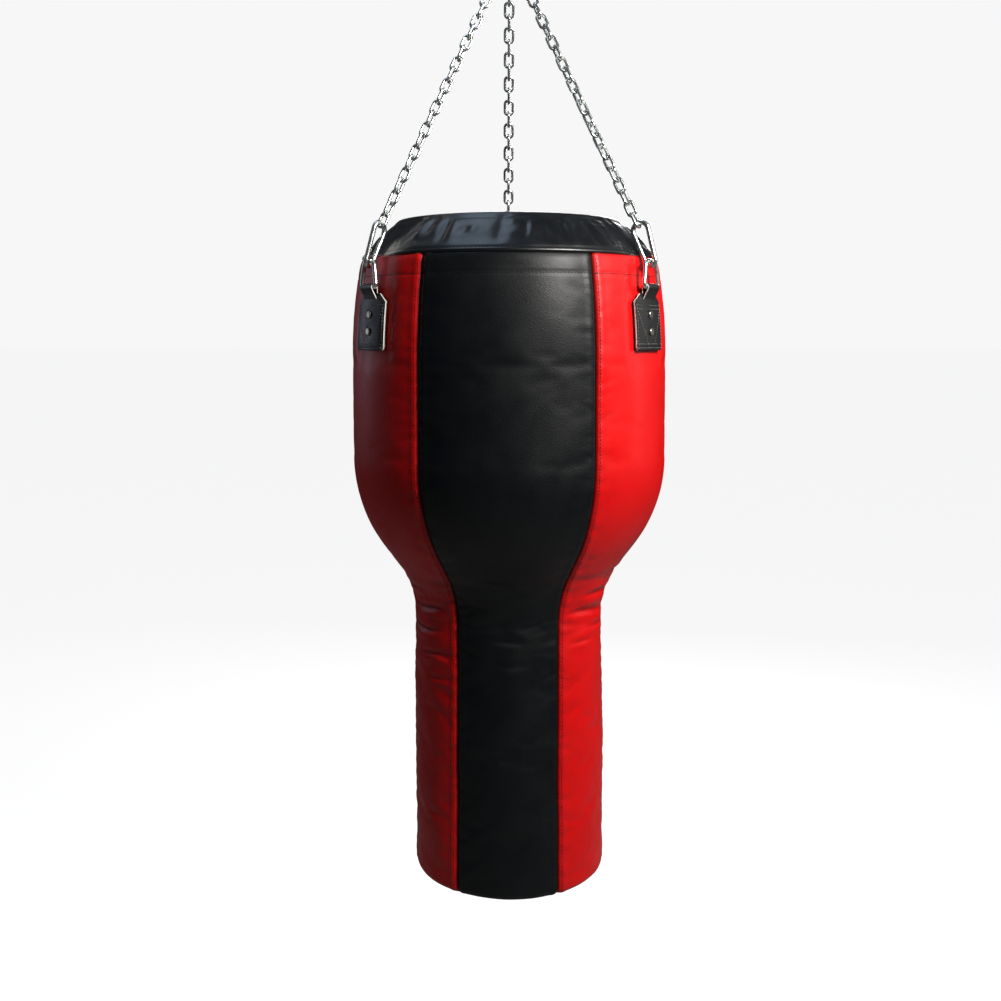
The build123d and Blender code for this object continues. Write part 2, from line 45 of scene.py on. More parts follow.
BASE_R, TRUNK_R, HEAD_R = 120.5, 119.5, 197.0
SEAM_R, RIM_R, LID_R, BASE_DISC_R = 185.4, 140.0, 135.0, 113.0
SLOPE_LOW_Z, SLOPE_HIGH_Z, BULGE_Z, SEAM_Z, RIM_Z = 368.0, 474.0, 654.0, 780.0, 827.0
BASE_EDGE, TRUNK_BLEND, HEAD_BLEND, COLLAR_SWELL = 7.0, 105.0, 190.0, 3.0
WAIST_Z = 350.0                         # the middle of the folds under the head
STITCH_BAND_Z = 756.0                   # the sewn line under the collar
SEAM_HEM, COLLAR_HEM = 4.6, 5.0         # from an edge in to the stitches beside it
SKIN = 1.9                              # thickness of the cover and the base disc
LID_SKIN = 1.8
FOAM_DEPTH = 7.0                        # from the outline in to the foam
SLOT_HALF, SLOT_WIDE = 118.0, 7.0       # the zip's slot: half its length, and from its middle line

PANELS = ["right", "right_rear", "rear", "left_rear", "left", "front"]
RED_PANELS = ("right", "rear", "left")
FIRST_SEAM, PANEL_ANGLE = 30.0, 60.0
WIDE_CUT, WIDE_CUT_AT, WIDE_CUT_REACH = 2.4, 330.0, 28.0    # the front panel's wider left side
COLUMNS, PANEL_COLUMNS = 384, 64        # the first column lies on the first seam
SIDE_ROWS, COLLAR_ROWS = 301, 41
SETTLE_FRAMES = 26

LEGS = {"right": 56.0, "rear": 180.0, "left": 304.0}
PATCH_HALF, PATCH_NECK = 31.0, 18.0     # half the patch's width, and of its narrow top
PATCH_LOW, PATCH_HIGH, PATCH_TOP = 668.0, 725.0, 735.0
PATCH_CORNER, PATCH_HEM = 4.0, 3.2      # corner radius, and from the edge in to the stitches
RIVET_HEIGHTS = (690.0, 710.0)
BAR_X, BAR_Z, WIRE_R = 200.5, 742.0, 2.5    # the straight bar of the ring that the strap holds
STRAP_HALF, STRAP_HALF_THICK, STRAP_SLACK = 14.0, 0.9, 0.35
STRAP_END_Z, STRAP_OUT_Z = 712.0, 727.0     # its sewn ends, and where it comes out of the patch

dice = np.random.default_rng(20731)


# --- helpers -----------------------------------------------------------------------------------
def place(points):
    """Bag millimetres to row metres."""
    moved = np.array(points, float)
    moved[..., 2] -= HANG_Z
    return moved * MM


def bell(distance, width):
    """1 at no distance, falling away smoothly."""
    return np.exp(-(distance / width) ** 2)


def smooth_step(value, low, high):
    """0 below low, 1 above high, smooth between them."""
    t = np.clip((value - low) / (high - low), 0, 1)
    return t * t * (3 - 2 * t)


def wrapped(degrees):
    """An angle brought between -180 and 180 degrees."""
    return (degrees + 180) % 360 - 180


def round_axis(radius, angle, height):
    """Points by distance from the bag's axis, angle from the front in radians, and height."""
    return np.stack([radius * np.sin(angle), -radius * np.cos(angle), height * np.ones_like(angle)],
                    axis=-1)


def add_piece(name, vertices, faces, finishes, face_finish=None):
    """A new object from row-frame vertices, shaded smooth."""
    mesh = bpy.data.meshes.new(name)
    mesh.from_pydata([tuple(v) for v in vertices], [], [tuple(int(i) for i in f) for f in faces])
    for finish in finishes:
        mesh.materials.append(finish)
    if face_finish is not None:
        mesh.polygons.foreach_set("material_index", np.asarray(face_finish, dtype=np.int32))
    mesh.polygons.foreach_set("use_smooth", np.ones(len(mesh.polygons), dtype=bool))
    mesh.update()
    obj = bpy.data.objects.new(name, mesh)
    bpy.context.scene.collection.objects.link(obj)
    return obj


def paint(obj, name, values):
    """A number for each vertex, which a material reads."""
    layer = obj.data.attributes.new(name, "FLOAT", "POINT")
    layer.data.foreach_set("value", np.asarray(values, dtype=np.float32).ravel())


def grid_faces(rows, columns, closed=False):
    """Quads of a grid stored row by row, wound so that they face away from the bag's axis."""
    faces = []
    across = columns if closed else columns - 1
    for i in range(rows - 1):
        for j in range(across):
            k = (j + 1) % columns
            low, high = i * columns, (i + 1) * columns
            faces.append((low + j, low + k, high + k, high + j))
    return faces


def shell(name, outer, inner, finishes, edge_finish=0, closed=False, paints=None):
    """A closed sheet between two grids of points, its edges joined."""
    rows, columns = outer.shape[:2]
    count = rows * columns
    front = grid_faces(rows, columns, closed)
    back = [tuple(count + v for v in reversed(face)) for face in front]
    rim = []
    across = columns if closed else columns - 1
    for j in range(across):
        k = (j + 1) % columns
        low, low_next = j, k
        top, top_next = (rows - 1) * columns + j, (rows - 1) * columns + k
        rim.append((low_next, low, count + low, count + low_next))
        rim.append((top, top_next, count + top_next, count + top))
    if not closed:
        for i in range(rows - 1):
            left, left_next = i * columns, (i + 1) * columns
            right, right_next = left + columns - 1, left_next + columns - 1
            rim.append((left, left_next, count + left_next, count + left))
            rim.append((right_next, right, count + right, count + right_next))
    vertices = np.concatenate([outer.reshape(-1, 3), inner.reshape(-1, 3)])
    marks = [0] * (len(front) + len(back)) + [edge_finish] * len(rim)
    obj = add_piece(name, place(vertices), front + back + rim, finishes, marks)
    for key, values in (paints or {}).items():
        paint(obj, key, np.concatenate([values.ravel(), values.ravel()]))
    return obj


# --- finishes ----------------------------------------------------------------------------------
def new_finish(name, color, roughness, metallic=0.0, coat=0.0, coat_roughness=0.1, specular=0.5):
    """A principled material: the material, its nodes, its links and its shader."""
    finish = bpy.data.materials.new(name)
    finish.use_nodes = True
    nodes, links = finish.node_tree.nodes, finish.node_tree.links
    shader = nodes["Principled BSDF"]
    shader.inputs["Base Color"].default_value = (*color, 1)
    shader.inputs["Roughness"].default_value = roughness
    shader.inputs["Metallic"].default_value = metallic
    shader.inputs["Coat Weight"].default_value = coat
    shader.inputs["Coat Roughness"].default_value = coat_roughness
    shader.inputs["Specular IOR Level"].default_value = specular
    return finish, nodes, links, shader


def object_noise(nodes, links, scale, detail=3.0, stretch=(1, 1, 1)):
    """A noise pattern on object coordinates."""
    coords = nodes.new("ShaderNodeTexCoord")
    mapping = nodes.new("ShaderNodeMapping")
    mapping.inputs["Scale"].default_value = stretch
    noise = nodes.new("ShaderNodeTexNoise")
    noise.inputs["Scale"].default_value = scale
    noise.inputs["Detail"].default_value = detail
    links.new(coords.outputs["Object"], mapping.inputs["Vector"])
    links.new(mapping.outputs["Vector"], noise.inputs["Vector"])
    return noise


def span(nodes, links, source, low, high, to_low, to_high):
    """Maps a value's range on to another."""
    mapped = nodes.new("ShaderNodeMapRange")
    mapped.inputs["From Min"].default_value = low
    mapped.inputs["From Max"].default_value = high
    mapped.inputs["To Min"].default_value = to_low
    mapped.inputs["To Max"].default_value = to_high
    links.new(source, mapped.inputs["Value"])
    return mapped.outputs["Result"]


def mix_colors(nodes, links, factor, first, second):
    """A colour between two by a factor."""
    mixed = nodes.new("ShaderNodeMix")
    mixed.data_type = "RGBA"
    links.new(factor, mixed.inputs["Factor"])
    for socket, value in ((mixed.inputs[6], first), (mixed.inputs[7], second)):
        if isinstance(value, tuple):
            socket.default_value = (*value, 1)
        else:
            links.new(value, socket)
    return mixed.outputs[2]


def coated_fabric(name, color, deep, roughness, coat, grain=0.00022, coat_roughness=0.22,
                  specular=0.5):
    """Leather-grained vinyl: pebbled, a little uneven in gloss, with painted shade darkening its creases.
    """
    finish, nodes, links, shader = new_finish(name, color, roughness, 0.0, coat, coat_roughness,
                                               specular)
    coords = nodes.new("ShaderNodeTexCoord")
    pebbles = nodes.new("ShaderNodeTexVoronoi")
    pebbles.feature = "SMOOTH_F1"
    pebbles.inputs["Scale"].default_value = 620
    pebbles.inputs["Randomness"].default_value = 1.0
    warp = object_noise(nodes, links, 150, 2)
    bend = nodes.new("ShaderNodeVectorMath")
    bend.operation = "MULTIPLY_ADD"
    bend.inputs[1].default_value = (0.004, 0.004, 0.004)
    links.new(warp.outputs["Color"], bend.inputs[0])
    links.new(coords.outputs["Object"], bend.inputs[2])
    links.new(bend.outputs["Vector"], pebbles.inputs["Vector"])
    pores = object_noise(nodes, links, 1900, 2)
    height = nodes.new("ShaderNodeMath")
    height.operation = "MULTIPLY_ADD"
    height.inputs[1].default_value = 0.35
    links.new(pores.outputs["Fac"], height.inputs[0])
    links.new(pebbles.outputs["Distance"], height.inputs[2])
    bump = nodes.new("ShaderNodeBump")
    bump.inputs["Strength"].default_value = 0.55
    bump.inputs["Distance"].default_value = grain
    links.new(height.outputs["Value"], bump.inputs["Height"])
    links.new(bump.outputs["Normal"], shader.inputs["Normal"])

    # Painted shade: the mottled colour darkens towards the deep colour in creases, seam valleys and along
    # stitch lines, by the per-vertex crease shade value.
    crease_shade = nodes.new("ShaderNodeAttribute")
    crease_shade.attribute_name = "crease_shade"
    patchy = object_noise(nodes, links, 11, 4)
    shade = span(nodes, links, patchy.outputs["Fac"], 0.35, 0.65, 0.0, 0.5)
    mottled = mix_colors(nodes, links, shade, color, tuple(c * 0.82 for c in color))
    shaded_in_creases = mix_colors(nodes, links, crease_shade.outputs["Fac"], mottled, deep)
    links.new(shaded_in_creases, shader.inputs["Base Color"])
    smudge = object_noise(nodes, links, 26, 5)
    gloss = span(nodes, links, smudge.outputs["Fac"], 0.3, 0.7, roughness - 0.05, roughness + 0.09)
    links.new(gloss, shader.inputs["Roughness"])
    return finish


def plated_metal(name, color, roughness, spots=0.05):
    """Bright plate with a faint uneven bloom."""
    finish, nodes, links, shader = new_finish(name, color, roughness, 1.0)
    bloom = object_noise(nodes, links, 120, 5)
    gloss = span(nodes, links, bloom.outputs["Fac"], 0.3, 0.7, roughness - spots,
                 roughness + 2 * spots)
    links.new(gloss, shader.inputs["Roughness"])
    tint = span(nodes, links, bloom.outputs["Fac"], 0.35, 0.7, 0.0, 1.0)
    toned = mix_colors(nodes, links, tint, color, tuple(c * 0.8 for c in color))
    links.new(toned, shader.inputs["Base Color"])
    bump = nodes.new("ShaderNodeBump")
    bump.inputs["Strength"].default_value = 0.25
    bump.inputs["Distance"].default_value = 0.0001
    rough_noise = object_noise(nodes, links, 420, 3)
    links.new(rough_noise.outputs["Fac"], bump.inputs["Height"])
    links.new(bump.outputs["Normal"], shader.inputs["Normal"])
    return finish


def fibrous(name, color, scale=900, stretch=(1, 1, 1), strength=0.6, roughness=0.9):
    """Cut hide, thread, webbing, foam or canvas."""
    finish, nodes, links, shader = new_finish(name, color, roughness, specular=0.2)
    noise = object_noise(nodes, links, scale, 4, stretch)
    shade = span(nodes, links, noise.outputs["Fac"], 0.3, 0.7, 0.0, 1.0)
    toned = mix_colors(nodes, links, shade, color, tuple(c * 0.62 for c in color))
    links.new(toned, shader.inputs["Base Color"])
    bump = nodes.new("ShaderNodeBump")
    bump.inputs["Strength"].default_value = strength
    bump.inputs["Distance"].default_value = 0.0003
    links.new(noise.outputs["Fac"], bump.inputs["Height"])
    links.new(bump.outputs["Normal"], shader.inputs["Normal"])
    return finish


# The second colour of each coated fabric is the painted shade colour of its creases.
RED = coated_fabric("red_vinyl", (0.62, 0.0010, 0.0014), (0.10, 0.0, 0.001), 0.45, 0.05, specular=0.3)
BLACK = coated_fabric("black_vinyl", (0.0016, 0.0024, 0.0032), (0.0005, 0.0005, 0.0006), 0.45, 0.05,
                      specular=0.28)
COLLAR = coated_fabric("collar_vinyl", (0.0020, 0.0028, 0.0040), (0.0005, 0.0005, 0.0008), 0.34, 0.22,
                       grain=0.00012, coat_roughness=0.26)
HIDE = coated_fabric("tab_leather", (0.0045, 0.0042, 0.0042), (0.001, 0.001, 0.001), 0.46, 0.05,
                     grain=0.0003)
CUT_EDGE = fibrous("cut_hide_edge", (0.86, 0.82, 0.74), 1400)
BLACK_THREAD = fibrous("black_thread", (0.012, 0.012, 0.014), 2500, roughness=0.6)
GREY_THREAD = fibrous("grey_thread", (0.20, 0.20, 0.19), 2500, roughness=0.65)
ZINC = plated_metal("zinc_plate", (0.80, 0.83, 0.80), 0.27)
STEEL = plated_metal("bright_steel", (0.62, 0.62, 0.62), 0.28)
RIVET = plated_metal("rivet_nickel", (0.42, 0.40, 0.34), 0.3)
BRASS = plated_metal("zip_brass", (0.58, 0.44, 0.20), 0.3)
FOAM = fibrous("foam_wrap", (0.75, 0.73, 0.68), 500)
CANVAS = fibrous("sack_canvas", (0.68, 0.63, 0.52), 1200)
STUFFING = fibrous("textile_filling", (0.42, 0.41, 0.40), 90)
TAPE = fibrous("zip_tape_weave", (0.016, 0.016, 0.018), 1800)


# --- the bag's outline -------------------------------------------------------------------------
def rounded(points, radii):
    """A polyline with round corners, as many short steps."""
    out = [np.array(points[0], float)]
    for i in range(1, len(points) - 1):
        corner = np.array(points[i], float)
        back = np.array(points[i - 1], float) - corner
        ahead = np.array(points[i + 1], float) - corner
        back /= np.linalg.norm(back)
        ahead /= np.linalg.norm(ahead)
        half = math.acos(np.dot(back, ahead)) / 2
        start = corner + back * radii[i - 1] / math.tan(half)
        end = corner + ahead * radii[i - 1] / math.tan(half)
        middle = back + ahead
        centre = corner + middle / np.linalg.norm(middle) * radii[i - 1] / math.sin(half)
        first = math.atan2(start[1] - centre[1], start[0] - centre[0])
        last = math.atan2(end[1] - centre[1], end[0] - centre[0])
        turn = (last - first + math.pi) % (2 * math.pi) - math.pi
        for k in range(33):
            angle = first + turn * k / 32
            out.append(centre + radii[i - 1] * np.array([math.cos(angle), math.sin(angle)]))
    out.append(np.array(points[-1], float))
    return out


def bulge_radius(z):
    """Radius of the head where it draws in to the seam."""
    rise, draw = SEAM_Z - BULGE_Z, HEAD_R - SEAM_R
    bend = (rise ** 2 + draw ** 2) / (2 * draw)
    return HEAD_R - bend + math.sqrt(bend ** 2 - max(z - BULGE_Z, 0) ** 2)


def side_outline():
    """Outline of the panels from the base disc's edge to the collar's seam."""
    points = rounded([(BASE_DISC_R, 0), (BASE_R, 0), (TRUNK_R, SLOPE_LOW_Z), (HEAD_R, SLOPE_HIGH_Z),
                      (HEAD_R, BULGE_Z)], [BASE_EDGE, TRUNK_BLEND, HEAD_BLEND])
    for z in np.linspace(BULGE_Z, SEAM_Z, 41)[1:]:
        points.append(np.array([bulge_radius(z), z]))
    return np.array(points)


def collar_outline():
    """Outline of the collar from its seam over the rim to the lid's seam."""
    start, end = np.array([SEAM_R, SEAM_Z]), np.array([RIM_R, RIM_Z])
    chord = end - start
    out = np.array([chord[1], -chord[0]]) / np.linalg.norm(chord)
    points = []
    for t in np.linspace(0, 1, 31):
        points.append(start + chord * t + out * COLLAR_SWELL * 4 * t * (1 - t))
    points += [np.array([RIM_R - 2, RIM_Z + 0.4]), np.array([LID_R, RIM_Z])]
    return np.array(points)


def even_rows(outline, rows):
    """The outline as evenly spaced rows: radius, height, distance along it, and the normal."""
    steps = np.linalg.norm(np.diff(outline, axis=0), axis=1)
    along = np.concatenate([[0], np.cumsum(steps)])
    here = np.linspace(0, along[-1], rows)
    radius = np.interp(here, along, outline[:, 0])
    height = np.interp(here, along, outline[:, 1])
    slope_r, slope_z = np.gradient(radius, here), np.gradient(height, here)
    length = np.hypot(slope_r, slope_z)
    return radius, height, here, slope_z / length, -slope_r / length


def column_angles(columns):
    """Each column's angle round the bag; the front panel is cut a little wide on its left."""
    even = FIRST_SEAM + 360 * np.arange(columns) / columns
    return even - WIDE_CUT * bell(wrapped(even - WIDE_CUT_AT), WIDE_CUT_REACH)


def sheet_points(rows, columns, lift):
    """Points of a turned sheet, lifted from it along its normal; lift is a grid of millimetres."""
    radius, height, _, out, up = rows
    return round_axis(radius[:, None] + out[:, None] * lift, np.radians(column_angles(columns)),
                      height[:, None] + up[:, None] * lift)


SIDE = even_rows(side_outline(), SIDE_ROWS)
RIM = even_rows(collar_outline(), COLLAR_ROWS)
EVEN = FIRST_SEAM + 360 * np.arange(COLUMNS) / COLUMNS
PHI = column_angles(COLUMNS)


def from_seam(radius):
    """Distance along the skin from the nearest upright seam."""
    apart = np.abs((EVEN - FIRST_SEAM + PANEL_ANGLE / 2) % PANEL_ANGLE - PANEL_ANGLE / 2)
    return np.radians(apart)[None, :] * radius[:, None]


def angle_off(phi):
    """How far each column is from an angle, in degrees."""
    return wrapped(PHI - phi)


def beside_tab(phi, radius):
    """How far each point of a sheet lies to either side of a tab, along the skin."""
    return np.abs(np.radians(angle_off(phi))[None, :] * radius[:, None])


# --- cloth -------------------------------------------------------------------------------------
def sewn_points(height, phi, seams):
    """Numbers of the cloth's points that are held: its edges, its seams and what a tab covers."""
    sewn = []
    for i in range(len(height)):
        at_edge = i < 4 or i > len(height) - 3
        for j in range(len(phi)):
            off_tab = min(abs(wrapped(phi[j] - leg)) for leg in LEGS.values())
            under_tab = off_tab < 10 and PATCH_LOW < height[i] < PATCH_TOP
            if at_edge or j in seams or under_tab:
                sewn.append(i * len(phi) + j)
    return sewn


def stuffed_cloth(cover):
    """Makes a mesh the cover's cloth, with the filling's pressure behind it."""
    cloth = cover.modifiers.new("cloth", "CLOTH")
    feel = cloth.settings
    feel.quality = 6
    feel.mass = 0.3
    feel.air_damping = 6
    feel.tension_stiffness = feel.compression_stiffness = 22
    feel.shear_stiffness = 8
    feel.bending_stiffness = 0.8
    feel.use_pressure = True
    feel.uniform_pressure_force = 5
    feel.shrink_min = -0.006
    feel.vertex_group_mass = "sewn"
    feel.effector_weights.gravity = 0
    cloth.collision_settings.use_collision = False


def settle_cover():
    """Lets the cover's cloth, cut a little too large, settle under the filling's pressure.

    The seams are held where they are sewn, so each panel swells and ripples between them.
    Returns how far it lifts off the outline, on every second row and column.
    """
    rows, columns = (SIDE_ROWS + 1) // 2, COLUMNS // 2
    coarse = tuple(values[::2] for values in SIDE)
    seams = list(range(0, columns, columns // len(PANELS)))
    start = np.full((rows, columns), -0.6)
    start[:, seams] = -1.2
    cover = add_piece("settling_cover", place(sheet_points(coarse, columns, start).reshape(-1, 3)),
                      grid_faces(rows, columns, True), [])
    phi = column_angles(columns)
    held = cover.vertex_groups.new(name="sewn")
    held.add(sewn_points(coarse[1], phi, seams), 1.0, "REPLACE")
    stuffed_cloth(cover)
    scene = bpy.context.scene
    scene.frame_start, scene.frame_end = 1, SETTLE_FRAMES
    for step in range(1, SETTLE_FRAMES + 1):
        scene.frame_set(step)
    settled = cover.evaluated_get(bpy.context.evaluated_depsgraph_get()).data
    flat = np.empty(len(settled.vertices) * 3)
    settled.vertices.foreach_get("co", flat)
    scene.frame_set(1)
    bpy.data.objects.remove(cover)
    now = flat.reshape(rows, columns, 3) / MM
    now[..., 2] += HANG_Z
    flush = sheet_points(coarse, columns, np.zeros((rows, columns)))
    outward = round_axis(coarse[3][:, None], np.radians(phi), coarse[4][:, None])
    return np.clip(((now - flush) * outward).sum(axis=-1), -4, 5)


def finer(coarse):
    """A coarse grid filled in to every row and column, smooth, and closed round the bag."""
    rows = np.empty((SIDE_ROWS, coarse.shape[1]))
    rows[::2] = coarse
    rows[1::2] = (coarse[:-1] + coarse[1:]) / 2
    full = np.empty((SIDE_ROWS, COLUMNS))
    full[:, ::2] = rows
    full[:, 1::2] = (rows + np.roll(rows, -1, axis=1)) / 2
    for _ in range(2):
        full[1:-1] = full[1:-1] * 0.5 + (full[:-2] + full[2:]) * 0.25
        full = full * 0.5 + (np.roll(full, 1, axis=1) + np.roll(full, -1, axis=1)) * 0.25
    return full


def lumps(along, count, longest, shortest):
    """A smooth random unevenness that closes round the bag, about 1 at its strongest."""
    total = np.zeros((len(along), COLUMNS))
    for _ in range(count):
        size = dice.uniform(shortest, longest)
        waves = max(1, round(2 * math.pi * 160 / size * dice.uniform(0.3, 1)))
        rise = dice.uniform(-1, 1) * 2 * math.pi / size
        shift = dice.uniform(0, 2 * math.pi)
        total += np.cos(waves * np.radians(PHI)[None, :] + rise * along[:, None] + shift)
    return total / math.sqrt(count) / 1.6


def press(field, crease_shade, along, phi, middle, half_degrees, depth, width, tilt, bow):
    """Presses one crease that runs round the bag: a valley between two soft ridges, with painted shade
    along the valley.
    """
    aside = angle_off(phi)[None, :]
    window = np.clip(1 - (aside / half_degrees) ** 2, 0, 1) ** 1.3
    line = middle + tilt * aside + bow * aside ** 2
    off = along[:, None] - line
    field -= window * depth * bell(off, width)
    field += window * depth * 0.75 * bell(off + 2.3 * width, 1.5 * width)
    field += window * depth * 0.45 * bell(off - 2.4 * width, 1.7 * width)
    # Painted shade along the valley.
    crease_shade += window * min(depth / 2.2, 1) * 0.8 * bell(off, width * 0.6)


def hold_down(field, where, most):
    """A sheet kept from lifting more than a little where something lies on it."""
    return field * (1 - where) + np.minimum(field, most) * where


def pucker_seams(field, crease_shade):
    """Draws short gathers into the cover from both sides of every upright seam, with painted shade in
    each gather.
    """
    radius, height, along = SIDE[:3]
    for number in range(len(PANELS)):
        across = np.radians(wrapped(EVEN - FIRST_SEAM - PANEL_ANGLE * number))[None, :] * radius[:, None]
        for side in (-1, 1):
            where = 6.0
            while where < along[-1] - 4:
                z = float(np.interp(where, along, height))
                waist = math.exp(-((z - WAIST_Z) / 75) ** 2)
                reach = dice.uniform(9, 24) * (1 + waist)
                deep = dice.uniform(0.12, 0.5) * (1 + 1.3 * waist)
                wide = dice.uniform(2.6, 4.6)
                slope = dice.uniform(-0.5, 0.5)
                rows = np.abs(along - where) < 4 * wide + 0.5 * reach + 6
                out = across[rows] * side
                off = along[rows][:, None] - where - slope * out
                part = bell(off, wide) * bell(out - 2, reach) * (out > 0)
                field[rows] -= deep * part
                # Painted shade in the gather's hollow.
                crease_shade[rows] += 0.35 * deep * part
                where += dice.uniform(7.5, 17)


# The clearest folds of the waist: angle, distance up the skin from the waist, half its angle round
# the bag, depth and width.
CLEAR_FOLDS = {
    "right": [(62, 18, 20, 2.3, 3.6), (55, -4, 24, 2.8, 3.8), (68, -26, 16, 1.7, 3.0),
              (48, -40, 12, 1.2, 3.0), (72, 46, 14, 1.1, 3.4)],
    "left": [(304, -2, 21, 2.5, 3.6), (296, -30, 24, 2.2, 3.6), (308, -58, 18, 1.6, 3.4),
             (292, 24, 16, 1.6, 3.6), (313, -88, 12, 1.0, 3.0)],
}


def fold_waist(field, crease_shade):
    """Presses folds across every panel, where the head draws in to the trunk."""
    height, along = SIDE[1:3]
    waist = float(np.interp(WAIST_Z + 2, height, along))
    folds = dict(CLEAR_FOLDS)
    for name in ("right_rear", "rear", "left_rear", "front"):
        phi = PANEL_ANGLE * (PANELS.index(name) + 1)
        strength = 0.5 if name == "front" else 0.8
        folds[name] = [(phi + dice.uniform(-9, 9), off + dice.uniform(-6, 6), dice.uniform(12, 24),
                        strength * dice.uniform(1.2, 2.6), dice.uniform(3, 4))
                       for off in (26, 0, -30, -62)]
    for name in PANELS:
        for phi, off, half, depth, width in folds[name]:
            press(field, crease_shade, along, phi, waist + off, half, depth, width,
                  dice.uniform(-0.22, 0.22), dice.uniform(-0.012, 0.012))


def cover_relief():
    """Lift and painted crease shade of the panels: cloth, lumps, puckers, folds, seams, and hollows for
    the tabs.
    """
    radius, height, along = SIDE[:3]
    low_part = 1 - smooth_step(height, 300, 480)[:, None]
    field = finer(settle_cover()) * (0.5 + 0.3 * low_part)
    crease_shade = np.zeros_like(field)
    field += lumps(along, 26, 420, 110) * (0.55 + 0.85 * low_part)
    field += lumps(along, 30, 95, 38) * (0.14 + 0.14 * low_part)
    pucker_seams(field, crease_shade)
    fold_waist(field, crease_shade)

    # Seam valleys, the band's stitch line and the top edge sink in, and get painted shade.
    seam = from_seam(radius)
    field += 0.9 + 0.9 * bell(seam - 7.0, 3.6)
    field -= 2.5 * bell(seam, 1.9) + 0.4 * bell(seam, 5.0)
    crease_shade += 1.0 * bell(seam, 1.3)
    line = float(np.interp(STITCH_BAND_Z, height, along))
    field -= 0.7 * bell(along - line, 1.5)[:, None]
    crease_shade += 0.3 * bell(along - line, 1.0)[:, None]
    field -= 1.6 * bell(along - along[-1], 3.2)[:, None]
    crease_shade += 0.9 * bell(along - along[-1], 2.0)[:, None]
    field *= smooth_step(along, 0, 9)[:, None]

    beside_patch = smooth_step(height, 640, 664) * (1 - smooth_step(height, 738, 760))
    for phi in LEGS.values():
        aside = beside_tab(phi, radius)
        tab = (1 - smooth_step(aside, 34, 48)) * beside_patch[:, None]
        field = hold_down(field, tab, -0.4)
        hook = (1 - smooth_step(aside, 16, 40)) * smooth_step(height, 728, 756)[:, None]
        field = hold_down(field, hook, -1.2)
    return field, np.clip(crease_shade, 0, 1)


def collar_relief():
    """Lift and painted crease shade of the collar: a folded lower edge, soft upright folds and a rolled
    rim.
    """
    radius, height, along = RIM[:3]
    t = (along / along[-1])[:, None]
    field = np.zeros((COLLAR_ROWS, COLUMNS))
    crease_shade = np.zeros_like(field)
    body = np.sin(np.pi * np.clip((t - 0.06) / 0.86, 0, 1)) ** 0.7
    field += body * lumps(along, 18, 260, 70) * 0.7
    where = 0.0
    while where < 360:
        wide = dice.uniform(1.1, 3.2)
        deep = dice.uniform(0.7, 2.4)
        lean = dice.uniform(-6, 6)
        start, end = dice.uniform(-0.1, 0.35), dice.uniform(0.6, 1.15)
        off = wrapped(PHI[None, :] - where - lean * (t - 0.5))
        reach = smooth_step(t, start, start + 0.25) * (1 - smooth_step(t, end - 0.25, end))
        field -= body * deep * reach * bell(off, wide)
        field += body * deep * 0.6 * reach * bell(off - 2.0 * wide, 1.3 * wide)
        # Painted shade in the fold's valley.
        crease_shade += 0.35 * body * deep / 2 * reach * bell(off, wide * 0.5)
        where += dice.uniform(3.5, 9)
    field += 1.3 * smooth_step(along, 0.0, 1.6)[:, None] * (1 - smooth_step(along, 6, 22))[:, None]
    field -= 0.55 * bell(along - 5.0, 1.2)[:, None]
    rim = float(np.interp(RIM_R + 1, radius[::-1], along[::-1]))
    field += 0.7 * bell(along - rim, 4.0)[:, None]
    field -= 0.3 * bell(along - rim + 8.0, 2.4)[:, None]
    # Painted shade just below the rim's roll and along the lid's seam.
    crease_shade += 0.2 * bell(along - rim + 8.0, 1.6)[:, None] + 0.8 * bell(along - along[-1], 1.5)[:, None]
    beside_hook = 1 - smooth_step(along, 36, 56)
    for phi in LEGS.values():
        hook = (1 - smooth_step(beside_tab(phi, radius), 14, 38)) * beside_hook[:, None]
        field = hold_down(field, hook, -1.4)
    return field, np.clip(crease_shade, 0, 1)


# --- the cover's pieces ------------------------------------------------------------------------
def finish_soft(obj, node, nodes=()):
    """Puts a soft piece on the bag in place of its plain solids."""
    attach(obj, BAG)
    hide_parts(node, *nodes)


# Each sheet carries its painted crease shade as a number per vertex.
side_lift, side_crease_shade = cover_relief()
side_points = sheet_points(SIDE, COLUMNS, side_lift)
side_backs = sheet_points(SIDE, COLUMNS, np.minimum(side_lift, 1.5) - SKIN)
for number, name in enumerate(PANELS):
    wanted = [(PANEL_COLUMNS * number + j) % COLUMNS for j in range(PANEL_COLUMNS + 1)]
    finish, slot = (RED, "red_vinyl") if name in RED_PANELS else (BLACK, "black_vinyl")
    panel = shell(f"{name}_cover", side_points[:, wanted], side_backs[:, wanted], [finish],
                  paints={"crease_shade": side_crease_shade[:, wanted]})
    finish_soft(panel, f"{name}_panel")

collar_lift, collar_crease_shade = collar_relief()
collar_points = sheet_points(RIM, COLUMNS, collar_lift)
collar_backs = sheet_points(RIM, COLUMNS, np.minimum(collar_lift, 1.0) - SKIN)
collar = shell("collar_cover", collar_points, collar_backs, [COLLAR], closed=True,
               paints={"crease_shade": collar_crease_shade})
finish_soft(collar, "shoulder_collar")


def inner_outline(rows):
    """Radii and heights of an outline, moved in to the foam."""
    radius, height, _, out, up = rows
    return list(zip(radius - out * FOAM_DEPTH, height - up * FOAM_DEPTH))


def foam_core():
    """The foam wraps behind the cover, a little slack so that the seams can sink in."""
    points = [(1.0, 6.0)] + inner_outline(SIDE)[6:] + inner_outline(RIM)[1::4] + [(1.0, RIM_Z - 9)]
    points = np.array(points)[::3]
    columns = 96
    grid = round_axis(points[:, :1], np.radians(360 * np.arange(columns) / columns), points[:, 1:])
    faces = grid_faces(len(points), columns, True)
    count = len(points) * columns
    faces.append(tuple(reversed(range(columns))))
    faces.append(tuple(range(count - columns, count)))
    return add_piece("foam_core", place(grid.reshape(-1, 3)), faces, [FOAM])


finish_soft(foam_core(), "head_foam", ["taper_foam", "trunk_foam", "base_foam", "top_foam"])


